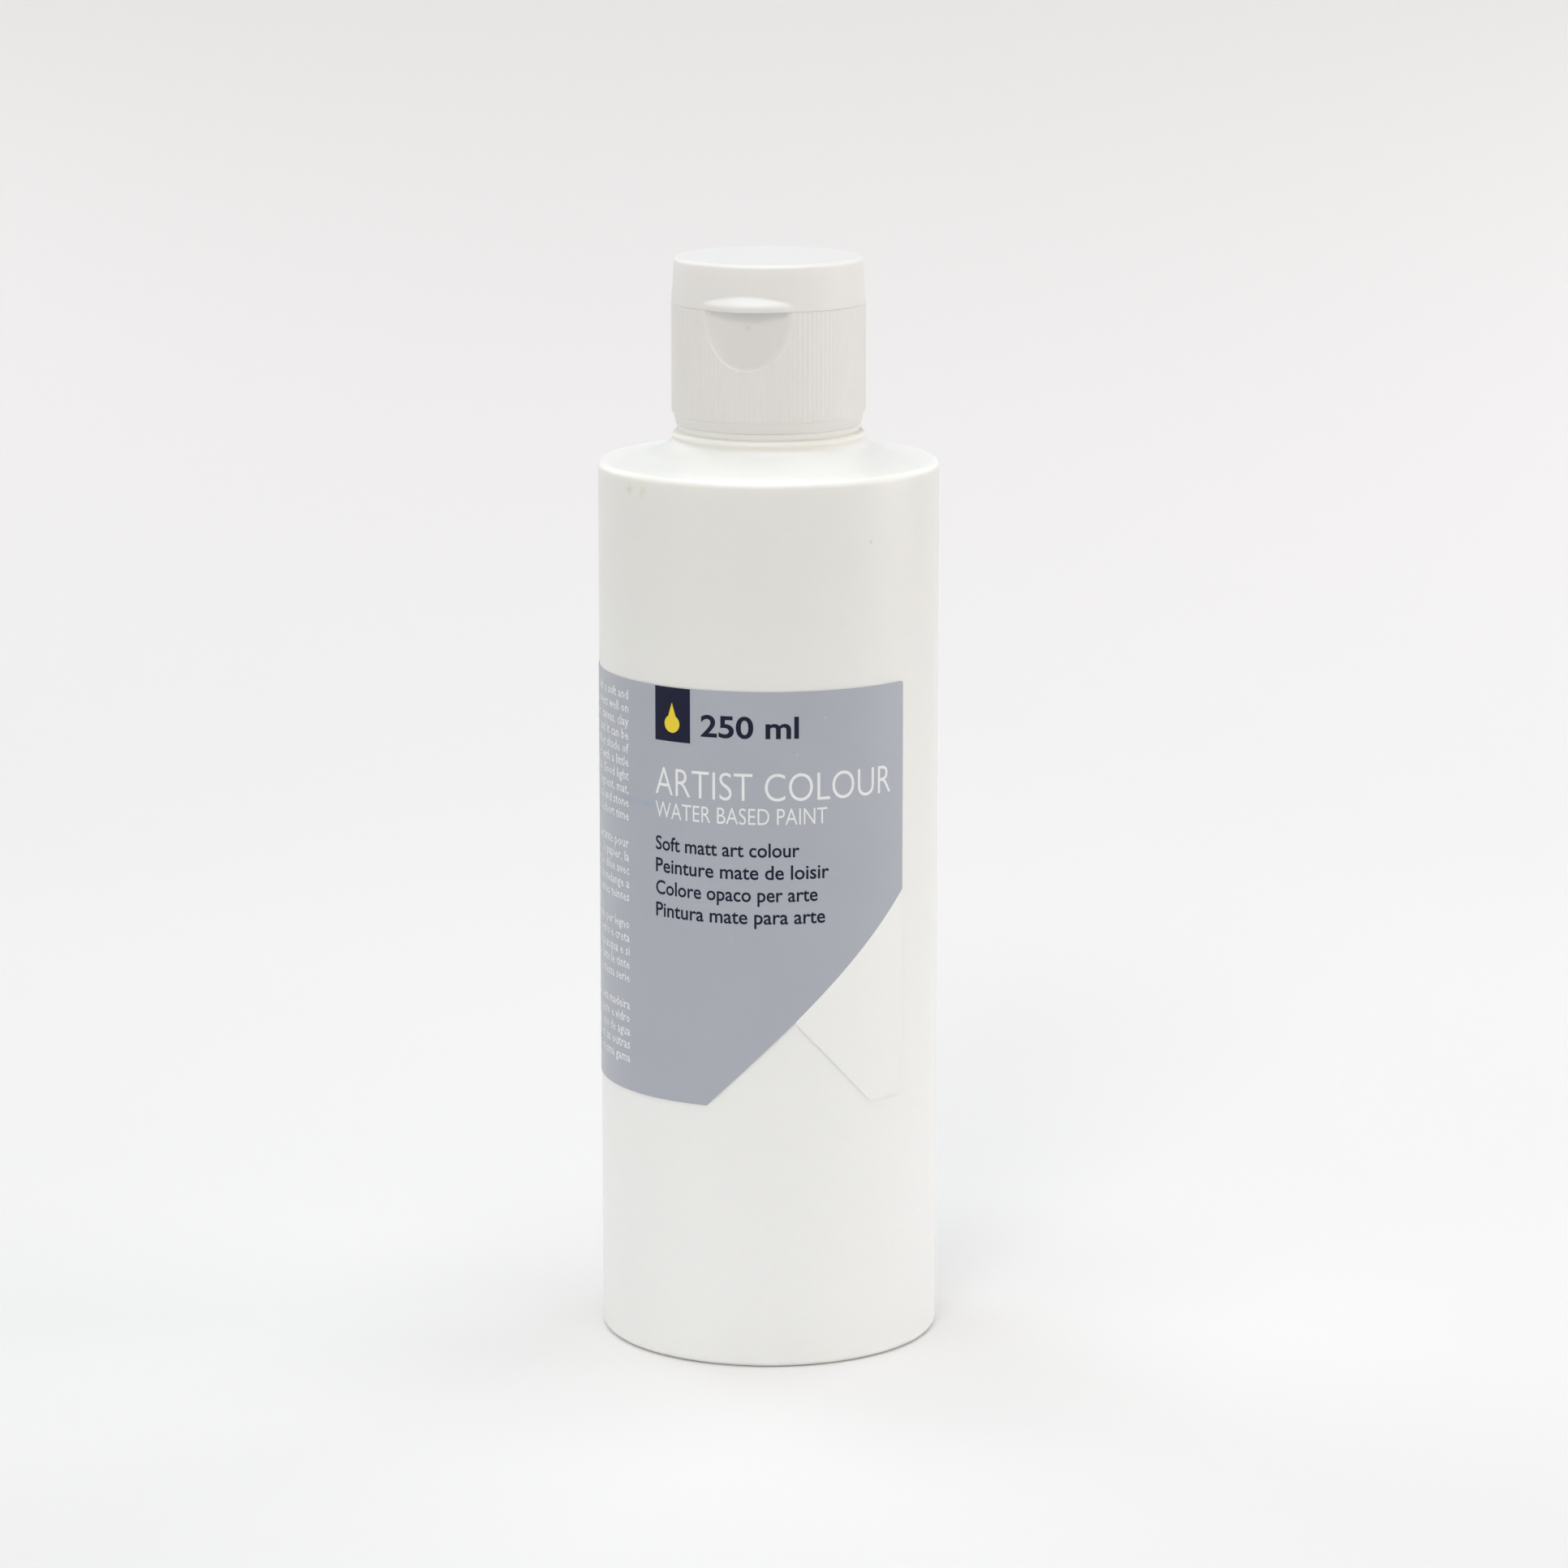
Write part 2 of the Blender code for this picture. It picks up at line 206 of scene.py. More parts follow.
# Painted shade on the thumb tab and the lid wall round it
TAB_SHADE = (0.765, 0.760, 0.756)
FILM_BLUE = ((0.419, 0.442, 0.499), (0.408, 0.431, 0.487))
FILM_CLEAR = ((0.898, 0.904, 0.884), (0.890, 0.896, 0.875))
PRINT_WHITE = ((0.84, 0.85, 0.86), (0.80, 0.81, 0.83))
PRINT_PALE = ((0.88, 0.89, 0.91), (0.83, 0.84, 0.86))
PRINT_NAVY = ((0.010, 0.011, 0.033), (0.013, 0.014, 0.038))
PRINT_YELLOW = ((0.86, 0.66, 0.030), (0.82, 0.62, 0.025))
FOAM_GREY = ((0.78, 0.78, 0.76), (0.72, 0.72, 0.70))
PAINT_WHITE = ((0.90, 0.90, 0.885), (0.88, 0.88, 0.86))
STAIN_YELLOW = (0.60, 0.50, 0.22)
DIRT_BROWN = (0.40, 0.36, 0.28)
SCUFF_BROWN = (0.45, 0.42, 0.34)
SPECK_BROWN = (0.50, 0.46, 0.38)
SMEAR_BLUE = (0.20, 0.33, 0.55)
CREASE_GREY = (0.56, 0.59, 0.65)
FADED_GREY = (0.62, 0.64, 0.68)
PAPER_NEAR = ((0.850, 0.846, 0.860), (0.843, 0.839, 0.853))
# Painted light: the backdrop's colour far behind the bottle
PAPER_FAR_LIGHT = (0.985, 0.968, 0.984)
FULL_WHITE = (1.0, 1.0, 1.0)

# Camera, which stands to the right of the thumb tab
CAMERA_AZIMUTH = 13.5
CAMERA_DISTANCE = 856.4
CAMERA_HEIGHT = 261.07
CAMERA_PITCH = 11.57
CAMERA_YAW = 0.156
CAMERA_LENS = 130.15


# ---------------------------------------------------------------- shapes

def around(azimuth, radius, z=0.0):
    """A point at an azimuth in degrees and a radius from the bottle's axis."""
    angle = math.radians(azimuth)
    return Vector((radius * math.sin(angle), -radius * math.cos(angle), z))


def arc(centre_r, centre_z, radius, start, end, count=8):
    """Points of an arc in the profile plane, with angles counted from outward towards up."""
    points = []
    for i in range(count):
        angle = math.radians(start + (end - start) * i / (count - 1))
        points.append((centre_r + radius * math.cos(angle), centre_z + radius * math.sin(angle)))
    return points


def add_piece(name, verts, faces, material, sharp=35.0):
    """A mesh object from points in millimetres, shaded smooth between its sharp edges."""
    mesh = bpy.data.meshes.new(name)
    mesh.from_pydata([Vector(v) * MM for v in verts], [], faces)
    mesh.materials.append(material)
    mesh.shade_smooth()
    mesh.set_sharp_from_angle(angle=math.radians(sharp))
    piece = bpy.data.objects.new(name, mesh)
    bpy.context.scene.collection.objects.link(piece)
    return piece


def settle(piece, body, slot, *nodes):
    """Make a piece ride on a body and let it stand for CAD nodes. Its slot is not used."""
    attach(piece, body)
    if nodes:
        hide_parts(*nodes)


def even_angles(steps):
    """Azimuths spread evenly all the way round."""
    return [360.0 * k / steps for k in range(steps)]


def round_solid(name, profile_at, angles, material, closed=False, sharp=35.0):
    """A solid whose profile can change as it goes round. The profile runs down its outer side."""
    verts = []
    rows = []
    poles = {}
    for azimuth in angles:
        row = []
        for i, (radius, z) in enumerate(profile_at(azimuth)):
            if radius > 0:
                verts.append(around(azimuth, radius, z))
                row.append(len(verts) - 1)
                continue
            if i not in poles:
                verts.append((0.0, 0.0, z))
                poles[i] = len(verts) - 1
            row.append(poles[i])
        rows.append(row)
    count = len(rows[0])
    faces = []
    for k, row in enumerate(rows):
        after = rows[(k + 1) % len(rows)]
        for i in range(count if closed else count - 1):
            j = (i + 1) % count
            loop = [row[i], row[j], after[j], after[i]]
            faces.append([v for n, v in enumerate(loop) if v not in loop[:n]])
    return add_piece(name, verts, faces, material, sharp)


def loft(name, loops, material):
    """A closed solid through loops of equal length, with flat ends."""
    count = len(loops[0])
    verts = [v for loop in loops for v in loop]
    faces = [list(range(count))[::-1]]
    for k in range(len(loops) - 1):
        for i in range(count):
            j = (i + 1) % count
            faces.append([k * count + i, k * count + j, (k + 1) * count + j, (k + 1) * count + i])
    faces.append([(len(loops) - 1) * count + i for i in range(count)])
    return add_piece(name, verts, faces, material)


# ---------------------------------------------------------------- materials

class Recipe:
    """A Principled material and short ways to wire procedural detail into it."""

    def __init__(self, name, colour, roughness, specular=0.5):
        self.material = bpy.data.materials.new(name)
        self.material.use_nodes = True
        self.tree = self.material.node_tree
        self.shader = self.tree.nodes["Principled BSDF"]
        self.shader.inputs["Base Color"].default_value = (*colour, 1.0)
        self.shader.inputs["Roughness"].default_value = roughness
        self.shader.inputs["Specular IOR Level"].default_value = specular
        self.where = self.tree.nodes.new("ShaderNodeTexCoord").outputs["Object"]
        self.colour = None

    def noise(self, scale, detail=3.0, roughness=0.5):
        """Noise whose scale is in cycles per metre."""
        node = self.tree.nodes.new("ShaderNodeTexNoise")
        node.inputs["Scale"].default_value = scale
        node.inputs["Detail"].default_value = detail
        node.inputs["Roughness"].default_value = roughness
        self.tree.links.new(self.where, node.inputs["Vector"])
        return node.outputs["Fac"]

    def remap(self, value, low, high, to_low, to_high):
        node = self.tree.nodes.new("ShaderNodeMapRange")
        self.tree.links.new(value, node.inputs["Value"])
        limits = {"From Min": low, "From Max": high, "To Min": to_low, "To Max": to_high}
        for socket, number in limits.items():
            node.inputs[socket].default_value = number
        return node.outputs["Result"]

    def maths(self, operation, first, second):
        node = self.tree.nodes.new("ShaderNodeMath")
        node.operation = operation
        for socket, value in zip(node.inputs, (first, second)):
            if isinstance(value, (int, float)):
                socket.default_value = value
            else:
                self.tree.links.new(value, socket)
        return node.outputs["Value"]

    def distance(self, point):
        """The distance in metres from a point given in millimetres."""
        node = self.tree.nodes.new("ShaderNodeVectorMath")
        node.operation = "DISTANCE"
        self.tree.links.new(self.where, node.inputs[0])
        node.inputs[1].default_value = Vector(point) * MM
        return node.outputs["Value"]

    def near(self, point, full, gone):
        """1 up to one distance from a point and 0 beyond another, all in millimetres."""
        return self.remap(self.distance(point), full * MM, gone * MM, 1.0, 0.0)

    def position(self, axis):
        node = self.tree.nodes.new("ShaderNodeSeparateXYZ")
        self.tree.links.new(self.where, node.inputs["Vector"])
        return node.outputs[axis]

    def paint(self, amount, colour):
        """Lay a colour over what is there, by an amount that a socket gives."""
        node = self.tree.nodes.new("ShaderNodeMix")
        node.data_type = "RGBA"
        self.tree.links.new(amount, node.inputs["Factor"])
        base = node.inputs[6]
        if self.colour is None:
            base.default_value = self.shader.inputs["Base Color"].default_value
        else:
            self.tree.links.new(self.colour, base)
        node.inputs[7].default_value = (*colour, 1.0)
        self.colour = node.outputs[2]
        self.tree.links.new(self.colour, self.shader.inputs["Base Color"])

    def above(self, low, high):
        """0 below one height and 1 above another, in millimetres."""
        return self.remap(self.position("Z"), low * MM, high * MM, 0.0, 1.0)

    def both(self, first, second):
        return self.maths("MULTIPLY", first, second)

    def roughness(self, value):
        self.tree.links.new(value, self.shader.inputs["Roughness"])

    def bump(self, height, depth):
        """Relief of a depth in millimetres from a 0 to 1 height."""
        node = self.tree.nodes.new("ShaderNodeBump")
        node.inputs["Strength"].default_value = 1.0
        node.inputs["Distance"].default_value = depth * MM
        self.tree.links.new(height, node.inputs["Height"])
        self.tree.links.new(node.outputs["Normal"], self.shader.inputs["Normal"])

    def glow_through(self, weight, scale):
        """Light that soaks into the plastic, over a scale in millimetres."""
        self.shader.inputs["Subsurface Weight"].default_value = weight
        self.shader.inputs["Subsurface Radius"].default_value = (1.0, 0.85, 0.65)
        self.shader.inputs["Subsurface Scale"].default_value = scale * MM

    def opaque(self):
        self.shader.inputs["Subsurface Weight"].default_value = 0.0


def moulded_plastic(name, colours, roughness, grain, grain_depth):
    """Plain moulded plastic: a faint mottle, a fine grain and an uneven gloss."""
    colour, shade = colours
    recipe = Recipe(name, colour, roughness)
    mottle = recipe.remap(recipe.noise(110.0, 4.0), 0.35, 0.75, 0.0, 1.0)
    recipe.paint(mottle, shade)
    gloss = recipe.noise(420.0, 3.0)
    recipe.roughness(recipe.remap(gloss, 0.3, 0.7, roughness - 0.05, roughness + 0.06))
    recipe.bump(recipe.noise(grain, 3.0), grain_depth)
    recipe.glow_through(0.12, 1.2)
    return recipe


def bottle_plastic():
    """Blow-moulded polyethylene, with stains, dirt and scuffs round its shoulder and painted light
    and shade.
    """
    recipe = moulded_plastic("bottle_plastic", BOTTLE_WHITE, 0.36, 2600.0, 0.010)
    recipe.glow_through(0.5, 1.5)
    # Painted light and shade: lighter at the foot of the wall, where light comes up from the floor,
    # darker above.
    recipe.paint(recipe.above(10.0, 125.0), BODY_TOP_SHADE)
    # Painted shade on the shoulder, which faces the top light.
    shaded_shoulder = recipe.above(RIM_Z - 0.9, RIM_Z + 0.1)
    recipe.paint(shaded_shoulder, SHOULDER_SHADE)
    # Painted shade on the front of the shoulder and its rim, which dims their highlight.
    front = recipe.near(around(CAMERA_AZIMUTH, SHOULDER_FLAT_R, RIM_Z), 12.0, 24.0)
    recipe.paint(recipe.both(front, shaded_shoulder), SHOULDER_FRONT_SHADE)
    # Painted shade, tinted yellowish, on the bead and the neck above it, which dims the bead's
    # highlight.
    recipe.paint(recipe.above(BEAD_FOOT_Z, BEAD_FOOT_Z + 0.7), BEAD_SHADE)
    # Painted light: a yellowish glow on the neck's band above the bead, where light bounces through
    # the plastic.
    recipe.paint(recipe.above(BEAD_TOP_Z, BEAD_TOP_Z + 0.3), BAND_GLOW)
    for (azimuth, z), size in STAINS:
        blot = recipe.near(around(azimuth, BODY_R, z), 0.2 * size, size)
        ragged = recipe.remap(recipe.noise(900.0, 4.0), 0.35, 0.65, 0.0, 0.40)
        recipe.paint(recipe.both(blot, ragged), STAIN_YELLOW)
    dirty = recipe.near(around(DIRT_AZIMUTH, 20.5, RIM_Z), 3.0, 8.0)
    specks = recipe.remap(recipe.noise(1500.0, 2.0, 0.7), 0.66, 0.70, 0.0, 0.45)
    recipe.paint(recipe.both(dirty, specks), DIRT_BROWN)
    scuffed = recipe.near(around(SCUFF_AZIMUTH, SHOULDER_FLAT_R, RIM_Z), 3.0, 10.0)
    scuffs = recipe.remap(recipe.noise(1700.0, 2.0, 0.7), 0.68, 0.71, 0.0, 0.35)
    recipe.paint(recipe.both(scuffed, scuffs), SCUFF_BROWN)
    rare = recipe.remap(recipe.noise(430.0, 1.0, 0.5), 0.815, 0.825, 0.0, 0.25)
    recipe.paint(rare, SPECK_BROWN)
    return recipe.material


def lid_plastic():
    """The cap's plastic, with painted shade on its top face and on its thumb tab."""
    recipe = moulded_plastic("lid_plastic", LID_WHITE, 0.50, 3200.0, 0.008)
    # Painted shade on the lid's top face, which faces the top light.
    recipe.paint(recipe.above(LID_TOP_Z - 0.45, LID_TOP_Z - 0.06), LID_TOP_SHADE)
    # Painted shade on the thumb tab and the wall round it, fading out upwards, which dims the tab's
    # brightness.
    tab = recipe.near(around(0.0, TAB_REACH, TAB_MIDDLE_Z), 4.0, 8.0)
    low, high = TAB_SHADE_FADE
    below = recipe.remap(recipe.position("Z"), low * MM, high * MM, 1.0, 0.0)
    recipe.paint(recipe.both(tab, below), TAB_SHADE)
    return recipe.material


def streak(recipe, start, end, width):
    """A straight streak on the wall between two points, each an azimuth and a height."""
    ends = [around(azimuth, LABEL_R, z) for azimuth, z in (start, end)]
    middle = (ends[0] + ends[1]) / 2
    span = ends[1] - ends[0]
    outward = Vector((middle.x, middle.y, 0.0)).normalized()
    across = span.cross(outward).normalized()
    facing = recipe.tree.nodes.new("ShaderNodeVectorMath")
    facing.operation = "DOT_PRODUCT"
    recipe.tree.links.new(recipe.where, facing.inputs[0])
    facing.inputs[1].default_value = across
    off = recipe.maths("SUBTRACT", facing.outputs["Value"], middle.dot(across) * MM)
    line = recipe.remap(recipe.maths("ABSOLUTE", off, 0.0), 0.0, width * MM, 1.0, 0.0)
    half = span.length / 2
    return recipe.both(line, recipe.near(middle, 0.7 * half, 1.05 * half))


def label_film():
    """Blue-grey printed film with a faint mottle, a satin face, a smear and a crease."""
    recipe = moulded_plastic("label_blue", FILM_BLUE, 0.36, 1800.0, 0.006)
    patchy = recipe.remap(recipe.noise(500.0, 2.0), 0.40, 0.62, 0.06, 0.42)
    recipe.paint(recipe.both(streak(recipe, *SMEAR, SMEAR_WIDTH), patchy), SMEAR_BLUE)
    rare = recipe.remap(recipe.noise(520.0, 1.0, 0.5), 0.815, 0.825, 0.0, 0.3)
    recipe.paint(rare, FADED_GREY)
    recipe.paint(recipe.both(streak(recipe, *CREASE, CREASE_WIDTH), 0.35), CREASE_GREY)
    recipe.opaque()
    return recipe.material


def ink(name, colours, roughness=0.40, specular=0.5):
    """A flat layer of print or film that lets no light soak in."""
    recipe = moulded_plastic(name, colours, roughness, 3000.0, 0.003)
    recipe.shader.inputs["Specular IOR Level"].default_value = specular
    recipe.opaque()
    return recipe.material


PLASTIC = bottle_plastic()
CAP_PLASTIC = moulded_plastic("cap_plastic", CAP_WHITE, 0.40, 3200.0, 0.008).material
LID_PLASTIC = lid_plastic()
LABEL_BLUE = label_film()
LABEL_CLEAR = ink("label_clear", FILM_CLEAR, 0.36)
INK_WHITE = ink("ink_white", PRINT_WHITE)
INK_PALE = ink("ink_pale", PRINT_PALE)
INK_NAVY = ink("ink_navy", PRINT_NAVY, 0.45, 0.15)
INK_YELLOW = ink("ink_yellow", PRINT_YELLOW)
FOAM = moulded_plastic("seal_foam", FOAM_GREY, 0.80, 4200.0, 0.04).material
PAINT = moulded_plastic("white_paint", PAINT_WHITE, 0.20, 240.0, 0.01).material


# ---------------------------------------------------------------- bottle

def push_up(clearance):
    """The domed base from the standing ring to the centre, raised by a clearance."""
    steps = 14
    points = []
    for i in range(steps + 1):
        share = 1.0 - i / steps
        points.append((STAND_R * share, clearance + PUSH_UP * (1 - share**4)))
    return points


def shoulder(clearance):
    """The shoulder's rise from its flat outer ring to the neck, lowered by a clearance."""
    steps = 16
    points = []
    for i in range(steps + 1):
        share = i / steps
        radius = SHOULDER_FLAT_R + (NECK_ROOT_R - SHOULDER_FLAT_R) * share
        points.append((radius, RIM_Z - clearance + (NECK_ROOT_Z - RIM_Z) * share**1.5))
    return points


def make_bottle():
    """The hollow bottle: up the inside, over the lip, down the outside and in under the base."""
    inner = BODY_R - WALL
    fillet = 0.8
    lip = 0.35
    profile = push_up(WALL)[::-1]
    profile += arc(inner - fillet, WALL + fillet, fillet, -90, 0)
    profile += arc(inner - fillet, RIM_Z - WALL - fillet, fillet, 0, 90)
    profile += shoulder(WALL)
    profile += BORE_FOOT
    profile += arc(BORE_R + lip, LIP_Z - lip, lip, 180, 90, 5)
    profile += arc(NECK_R - lip, LIP_Z - lip, lip, 90, 0, 5)
    profile += BAND_TOP + BAND_SIDE
    profile += arc(BEAD_R - BEAD_ROUND, BEAD_TOP_Z - BEAD_ROUND, BEAD_ROUND, 106, -20, 14)
    profile += BEAD_CROOK
    profile += shoulder(0.0)[-4::-1]
    profile += arc(BODY_R - RIM_FILLET, RIM_Z - RIM_FILLET, RIM_FILLET, 90, 0, 10)
    profile += [(BODY_R, RIM_Z - 20.0), (BODY_R, 90.0), (BODY_R, 50.0), (BODY_R, 20.0)]
    profile += arc(BODY_R - BASE_FILLET, BASE_FILLET, BASE_FILLET, 0, -90, 10)
    profile += push_up(0.0)
    piece = round_solid("bottle_shell", lambda azimuth: profile, even_angles(256), PLASTIC)
    settle(piece, "bottle_body", "bottle_plastic", "bottle")


def make_pinch_line():
    """The pinched-off ridge that blow moulding leaves across the domed base."""
    half_length = 15.0
    half_height = 0.35
    lift = 0.1
    sides = 10
    steps = 40
    loops = []
    for i in range(steps + 1):
        x = -half_length + 2 * half_length * i / steps
        dome = PUSH_UP * (1 - (abs(x) / STAND_R) ** 4)
        size = half_height * math.sqrt(max(0.02, 1 - (x / half_length) ** 2))
        loop = []
        for k in range(sides):
            angle = 2 * math.pi * k / sides
            loop.append((x, size * math.cos(angle), dome + lift + size * math.sin(angle)))
        loops.append(loop)
    piece = loft("base_pinch_line", loops, PLASTIC)
    settle(piece, "bottle_body", "bottle_plastic")


def thread_ridge(name, at_radius, ridge_radius, top_z, material):
    """A right-handed helical ridge whose ends run out to a thinner section."""
    per_turn = 72
    sides = 10
    run_out = 14
    count = int(per_turn * THREAD_TURNS)
    low_z = top_z - THREAD_PITCH * THREAD_TURNS
    loops = []
    for i in range(count + 1):
        turn = i / per_turn
        size = ridge_radius * min(1.0, 0.4 + 0.6 * min(i, count - i) / run_out)
        loop = []
        for k in range(sides):
            angle = -2 * math.pi * k / sides
            radius = at_radius + size * math.cos(angle)
            z = low_z + THREAD_PITCH * turn + size * math.sin(angle)
            loop.append(around(360.0 * turn, radius, z))
        loops.append(loop)
    return loft(name, loops, material)


# ---------------------------------------------------------------- cap

def smooth(share):
    """A smooth step from 0 to 1, held outside that range."""
    share = min(1.0, max(0.0, share))
    return share * share * (3 - 2 * share)


def scoop_edge(x, drop):
    """How far a point on the skirt lies outside the scoop's U. It's below zero inside the U."""
    if drop < SCOOP_STRAIGHT:
        return abs(x) - SCOOP_HALF_W
    depth = SCOOP_DROP - SCOOP_STRAIGHT
    across = x / SCOOP_HALF_W
    down = (drop - SCOOP_STRAIGHT) / depth
    reach = math.hypot(across, down)
    if reach == 0.0:
        return -SCOOP_HALF_W
    return (reach - 1) * reach / math.hypot(across / SCOOP_HALF_W, down / depth)


def scoop_floor(x, drop):
    """The radius of the scoop's floor, which comes out towards its sides and its foot."""
    lean = SCOOP_LEAN * max(0.0, drop)
    return SCOOP_TOP_R + (SCOOP_SIDE_R - SCOOP_TOP_R) * (x / SCOOP_HALF_W) ** 2 + lean


def skirt_radius(azimuth, z):
    """The skirt's outer radius: fine ribs, and the scoop with a plain band round its edge."""
    angle = math.radians(azimuth)
    wave = 0.5 + 0.5 * math.cos(angle * RIB_COUNT)
    ribbed = CAP_R - RIB_DEPTH * wave
    x = CAP_R * math.sin(angle)
    if math.cos(angle) < 0 or abs(x) > SCOOP_HALF_W + SCOOP_BAND:
        return ribbed
    drop = PARTING_Z - z
    outside = scoop_edge(x, drop)
    if outside > SCOOP_BAND:
        return ribbed
    crest = ribbed + (CAP_R - ribbed) * smooth((SCOOP_BAND - outside) / SCOOP_BAND_EDGE)
    floor = min(crest, scoop_floor(x, drop))
    return floor + (crest - floor) * smooth((outside + SCOOP_WALL / 2) / SCOOP_WALL)


def make_skirt():
    """The ribbed screw cap's outer wall, with its scoop, collar, bore and flat top."""
    top = PARTING_Z - PARTING_GAP / 2
    edge = 0.05
    scoop_low = PARTING_Z - SCOOP_DROP - 0.8
    rows = 72
    heights = [top - edge + (scoop_low - top + edge) * k / rows for k in range(rows + 1)]
    heights += [148.0, RIB_END_Z + 0.25]
    collar_edge = 0.08
    collar = [(14.60, 0.20), (14.40, 0.30), (14.36, 0.45), (14.27, 1.2)]
    lower = [(CAP_R - RIB_DEPTH, RIB_END_Z - 0.05)]
    lower += [(radius, RIB_END_Z - drop) for radius, drop in collar]
    lower += arc(COLLAR_FOOT_R, COLLAR_BOTTOM_Z + collar_edge, collar_edge, 10, -90, 5)
    inner = [(CAP_BORE_R + 0.2, COLLAR_BOTTOM_Z), (CAP_BORE_R, COLLAR_BOTTOM_Z + 0.2)]
    inner += [(CAP_BORE_R, DECK_Z - DECK_THICK), (SNAP_RING_R, DECK_Z - DECK_THICK)]

    def profile_at(azimuth):
        wall = [(skirt_radius(azimuth, z), z) for z in heights]
        rim = [(SNAP_RING_R, top), (wall[0][0] - edge, top)]
        return rim + wall + lower + inner

    angles = even_angles(RIB_COUNT * 8)
    skirt = round_solid("cap_skirt", profile_at, angles, CAP_PLASTIC, closed=True, sharp=50.0)
    settle(skirt, "cap_body", "cap_plastic", "closure_base")


def make_gate_mark():
    """The small raised nub in the scoop."""
    depth = scoop_floor(0.0, GATE_MARK_DROP)
    centre = Vector((GATE_MARK_X, -depth, PARTING_Z - GATE_MARK_DROP))
    sunk = 0.02
    rings = 6
    sides = 20
    loops = []
    for i in range(rings):
        angle = math.pi / 2 * i / rings
        size = GATE_MARK_R * math.cos(angle)
        out = GATE_MARK_HEIGHT * math.sin(angle) - sunk
        loop = []
        for k in range(sides):
            turn = 2 * math.pi * k / sides
            loop.append(centre + Vector((size * math.cos(turn), -out, size * math.sin(turn))))
        loops.append(loop)
    settle(loft("scoop_gate_mark", loops, CAP_PLASTIC), "cap_body", "cap_plastic")


def make_deck():
    """The cap's deck with its snap ring and the spout."""
    underside = DECK_Z - DECK_THICK
    mouth = 0.3
    tip = 0.35
    ring_top = DECK_Z + 1.0
    ring_edge = 0.2
    profile = [(SPOUT_HOLE_R, SPOUT_TIP_Z - mouth)]
    profile += arc(SPOUT_HOLE_R + mouth, SPOUT_TIP_Z - mouth, mouth, 180, 90, 5)
    profile += arc(SPOUT_R - tip, SPOUT_TIP_Z - tip, tip, 90, 0, 5)
    profile += [(SPOUT_R + 0.2, DECK_Z + 0.8), (SPOUT_R + 0.45, DECK_Z + 0.25)]
    profile += [(SPOUT_R + 0.85, DECK_Z)]
    profile += [(SNAP_RING_R - 1.1, DECK_Z), (SNAP_RING_R - 0.95, DECK_Z + 0.15)]
    profile += arc(SNAP_RING_R - 0.65, ring_top - ring_edge, ring_edge, 180, 90, 5)
    profile += arc(SNAP_RING_R - ring_edge, ring_top - ring_edge, ring_edge, 90, 0, 5)
    profile += [(SNAP_RING_R - 0.02, DECK_Z), (SNAP_RING_R - 0.02, underside)]
    profile += [(SPOUT_HOLE_R, underside)]
    angles = even_angles(160)
    piece = round_solid("cap_deck", lambda azimuth: profile, angles, CAP_PLASTIC, closed=True)
    settle(piece, "cap_body", "cap_plastic")


# ---------------------------------------------------------------- lid

def lid_angles():
    """Angles round the lid, closer together at the thumb tab."""
    tab = 33.0
    fine_step = 0.4
    coarse_step = 2.0
    fine = [-tab + fine_step * k for k in range(round(2 * tab / fine_step))]
    coarse = [tab + coarse_step * k for k in range(round((360.0 - 2 * tab) / coarse_step))]
    return fine + coarse


def soft_min(a, b, blend):
    """The smaller of two numbers, with a rounded change from one to the other."""
    gap = max(blend - abs(a - b), 0.0) / blend
    return min(a, b) - gap * gap * blend / 4


def lid_radius(azimuth, z, low):
    """The lid's outer radius, with the thumb tab as a bulge that slopes up to the wall."""
    side_margin = 0.4
    slope_rise = 0.9
    edge = 0.2
    share = (z - low) / (LID_TOP_Z - low)
    wall = LID_R_LOW + (LID_R_TOP - LID_R_LOW) * share
    angle = math.radians(azimuth)
    across = LID_R_LOW * math.sin(angle)
    if math.cos(angle) < 0 or abs(across) > TAB_HALF_W + side_margin:
        return wall
    sagitta = TAB_REACH - math.sqrt(LID_R_LOW**2 - TAB_HALF_W**2)
    tab_r = (TAB_HALF_W**2 + sagitta**2) / (2 * sagitta)
    centre = TAB_REACH - tab_r
    reach = centre * math.cos(angle) + math.sqrt(tab_r**2 - (centre * math.sin(angle)) ** 2)
    top = TAB_TOP_Z - TAB_DROP * (across / TAB_HALF_W) ** 2
    slope = wall + (top - z) / slope_rise
    lip = soft_min(reach, slope, 0.5)
    under = max(0.0, edge - (z - low))
    lip -= edge - math.sqrt(edge**2 - under**2)
    return -soft_min(-wall, -lip, 0.25)


